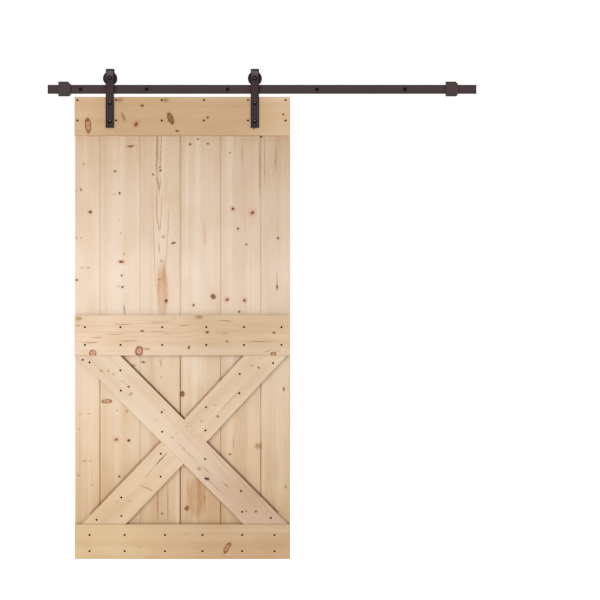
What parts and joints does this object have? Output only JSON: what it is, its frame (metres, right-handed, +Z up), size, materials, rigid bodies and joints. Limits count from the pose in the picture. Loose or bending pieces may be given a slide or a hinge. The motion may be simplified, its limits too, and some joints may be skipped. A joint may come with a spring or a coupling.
{
  "type": "sliding barn door",
  "caption": "Knotty pine plank door with rails and a crossed brace, hung by strap hangers on a flat bar track with end stops.",
  "frame": {"origin": "on the wall plane, on the axis of the middle lag bolt of the track", "axes": "+X runs along the track to the right as seen from the front, -Y points out to the front, +Z up; the wall plane is y = 0"},
  "size_m": [1.981, 0.1155, 2.265],
  "materials": {
    "pine_planks": "raw sanded knotty pine, upright grain",
    "pine_rails": "raw sanded knotty pine, level grain",
    "pine_braces": "raw sanded knotty pine, grain along the brace",
    "bronze_steel": "dark bronze powder coat",
    "black_steel": "black coated fasteners",
    "bright_steel": "ground bearing steel",
    "cage_brass": "pressed brass"
  },
  "bodies": {
    "track": {"track_bar": "bronze_steel", "track_spacers": "bronze_steel", "lag_bolts": "black_steel", "lag_washers": "bronze_steel", "end_stop_left": "bronze_steel", "end_stop_right": "bronze_steel", "end_stop_set_screws": "black_steel"},
    "door": {"plank_1": "pine_planks", "plank_2": "pine_planks", "plank_3": "pine_planks", "plank_4": "pine_planks", "plank_5": "pine_planks", "plank_6": "pine_planks", "top_rail": "pine_rails", "mid_rail": "pine_rails", "bottom_rail": "pine_rails", "brace_long": "pine_braces", "brace_upper": "pine_braces", "brace_lower": "pine_braces", "top_rail_screws": "black_steel", "mid_rail_screws": "black_steel", "bottom_rail_screws": "black_steel", "brace_long_screws": "black_steel", "brace_upper_screws": "black_steel", "brace_lower_screws": "black_steel", "hanger_strap_left": "bronze_steel", "hanger_bolts_left": "black_steel", "hanger_washers_left": "black_steel", "hanger_nuts_left": "black_steel", "axle_bolt_left": "black_steel", "axle_nut_left": "black_steel", "axle_bushes_left": "bright_steel", "bearing_inner_left": "bright_steel", "hanger_strap_right": "bronze_steel", "hanger_bolts_right": "black_steel", "hanger_washers_right": "black_steel", "hanger_nuts_right": "black_steel", "axle_bolt_right": "black_steel", "axle_nut_right": "black_steel", "axle_bushes_right": "bright_steel", "bearing_inner_right": "bright_steel"},
    "wheel_left": {"wheel_left": "bronze_steel", "bearing_outer_left": "bright_steel", "bearing_shields_left": "bright_steel"},
    "wheel_right": {"wheel_right": "bronze_steel", "bearing_outer_right": "bright_steel", "bearing_shields_right": "bright_steel"},
    "cage_left": {"bearing_balls_left": "bright_steel", "bearing_cage_left": "cage_brass"},
    "cage_right": {"bearing_balls_right": "bright_steel", "bearing_cage_right": "cage_brass"}
  },
  "joints": [
    {"name": "door_slide", "type": "slide", "parent": "track", "child": "door", "axis": [1, 0, 0], "range_m": [-0.1626, 0.8529]},
    {"name": "wheel_left_spin", "type": "hinge", "parent": "door", "child": "wheel_left", "pos_m": [-0.54245, -0.038, 0.05002], "axis": [0, 1, 0], "continuous": true},
    {"name": "wheel_right_spin", "type": "hinge", "parent": "door", "child": "wheel_right", "pos_m": [0.12655, -0.038, 0.05002], "axis": [0, 1, 0], "continuous": true},
    {"name": "cage_left_spin", "type": "hinge", "parent": "door", "child": "cage_left", "pos_m": [-0.54245, -0.038, 0.05002], "axis": [0, 1, 0], "continuous": true},
    {"name": "cage_right_spin", "type": "hinge", "parent": "door", "child": "cage_right", "pos_m": [0.12655, -0.038, 0.05002], "axis": [0, 1, 0], "continuous": true}
  ],
  "couplings": [
    {"joint": "wheel_left_spin", "follows": "door_slide", "rad_per_m": 33.898},
    {"joint": "wheel_right_spin", "follows": "door_slide", "rad_per_m": 33.898},
    {"joint": "cage_left_spin", "follows": "door_slide", "rad_per_m": 21.186},
    {"joint": "cage_right_spin", "follows": "door_slide", "rad_per_m": 21.186}
  ]
}
